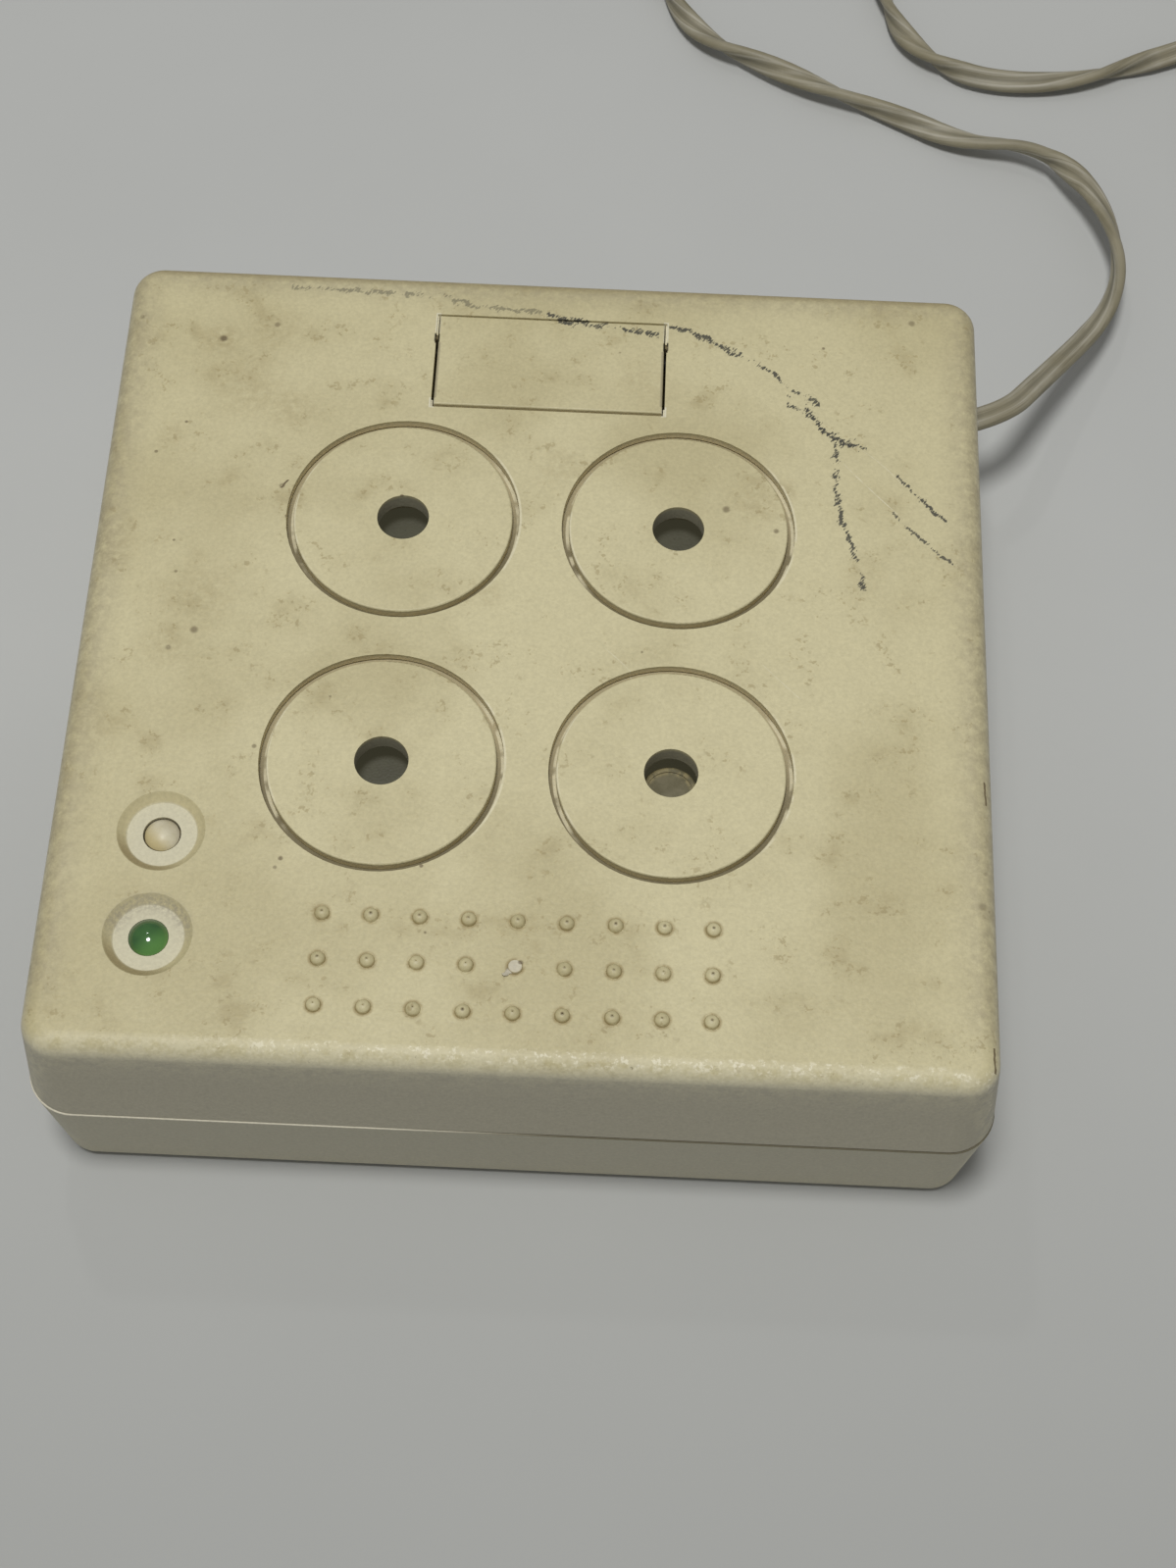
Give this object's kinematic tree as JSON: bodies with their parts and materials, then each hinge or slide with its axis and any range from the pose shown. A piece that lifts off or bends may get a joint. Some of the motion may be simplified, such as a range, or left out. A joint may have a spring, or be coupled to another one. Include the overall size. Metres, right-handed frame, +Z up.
{
  "type": "push-button unit",
  "caption": "Square table-top push-button unit: round sprung buttons with centre eyes, rocking push bar, small button and green lamp in dished recesses, twin-core cord with a barrel plug.",
  "frame": {"origin": "on the table, under the middle of the casing", "axes": "+Z up out of the top face, +Y towards the push bar at the back, +X towards the side where the cord leaves"},
  "size_m": [0.2301, 0.2521, 0.0402],
  "materials": {
    "abs_cream": "fine-textured moulded ABS, aged cream",
    "button_ivory": "smooth moulded, satin",
    "rubber_dark": "moulded, matte",
    "steel_zinc": "zinc-plated",
    "spring_steel": "drawn wire",
    "board_laminate": "etched laminate, olive solder mask",
    "capacitor_sleeve": "shrunk sleeve, brown",
    "black_resin": "moulded, matte",
    "relay_resin": "cast olive potting resin, matte",
    "plunger_white": "moulded acetal",
    "resistor_body": "dipped coating",
    "terminal_plastic": "moulded polyamide",
    "lamp_green": "clear tinted epoxy, glossy",
    "cord_pvc": "soft translucent PVC, greyish beige",
    "plug_black": "moulded PVC",
    "plug_nickel": "nickel-plated brass"
  },
  "bodies": {
    "housing": {"top_cover": "abs_cream", "base_shell": "abs_cream", "rubber_feet": "rubber_dark", "cover_screws": "steel_zinc", "board_screws": "steel_zinc", "bar_pivot_pin": "steel_zinc", "circuit_board": "board_laminate", "tall_capacitor": "capacitor_sleeve", "small_capacitors": "capacitor_sleeve", "control_chip": "black_resin", "sealed_relays": "relay_resin", "resistors": "resistor_body", "terminal_block": "terminal_plastic", "green_lamp": "lamp_green", "lamp_leads": "steel_zinc", "cord_grommet": "cord_pvc", "cord_cores": "cord_pvc", "cord_lead": "cord_pvc", "cord_coil": "cord_pvc", "cord_tail": "cord_pvc", "plug_body": "plug_black", "plug_barrel": "plug_nickel", "small_switch": "black_resin", "bar_switch": "black_resin", "small_spring": "spring_steel", "bar_springs": "spring_steel", "spring_back_left": "spring_steel", "switch_back_left": "black_resin", "spring_back_right": "spring_steel", "switch_back_right": "black_resin", "spring_front_left": "spring_steel", "switch_front_left": "black_resin", "spring_front_right": "spring_steel", "switch_front_right": "black_resin"},
    "back_left_button": {"button_back_left": "abs_cream", "plunger_back_left": "plunger_white"},
    "back_right_button": {"button_back_right": "abs_cream", "plunger_back_right": "plunger_white"},
    "front_left_button": {"button_front_left": "abs_cream", "plunger_front_left": "plunger_white"},
    "front_right_button": {"button_front_right": "abs_cream", "plunger_front_right": "plunger_white"},
    "little_button": {"small_button": "button_ivory"},
    "rocking_bar": {"push_bar": "abs_cream"}
  },
  "joints": [
    {"name": "back_left_press", "type": "slide", "parent": "housing", "child": "back_left_button", "axis": [0, 0, -1], "range_m": [0, 0.002], "stiffness_N_per_m": 400, "springref_m": -0.002, "deforming": ["spring_back_left"]},
    {"name": "back_right_press", "type": "slide", "parent": "housing", "child": "back_right_button", "axis": [0, 0, -1], "range_m": [0, 0.002], "stiffness_N_per_m": 400, "springref_m": -0.002, "deforming": ["spring_back_right"]},
    {"name": "front_left_press", "type": "slide", "parent": "housing", "child": "front_left_button", "axis": [0, 0, -1], "range_m": [0, 0.002], "stiffness_N_per_m": 400, "springref_m": -0.002, "deforming": ["spring_front_left"]},
    {"name": "front_right_press", "type": "slide", "parent": "housing", "child": "front_right_button", "axis": [0, 0, -1], "range_m": [0, 0.002], "stiffness_N_per_m": 400, "springref_m": -0.002, "deforming": ["spring_front_right"]},
    {"name": "small_press", "type": "slide", "parent": "housing", "child": "little_button", "axis": [0, 0, -1], "range_m": [0, 0.0008], "stiffness_N_per_m": 120, "springref_m": -0.002, "deforming": ["small_spring"]},
    {"name": "bar_rock", "type": "hinge", "parent": "housing", "child": "rocking_bar", "pos_m": [0, 0.0495, 0.0354], "axis": [1, 0, 0], "range_deg": [0, 6], "stiffness_Nm_per_rad": 0.04, "springref_deg": -5.73, "deforming": ["bar_springs"]}
  ]
}
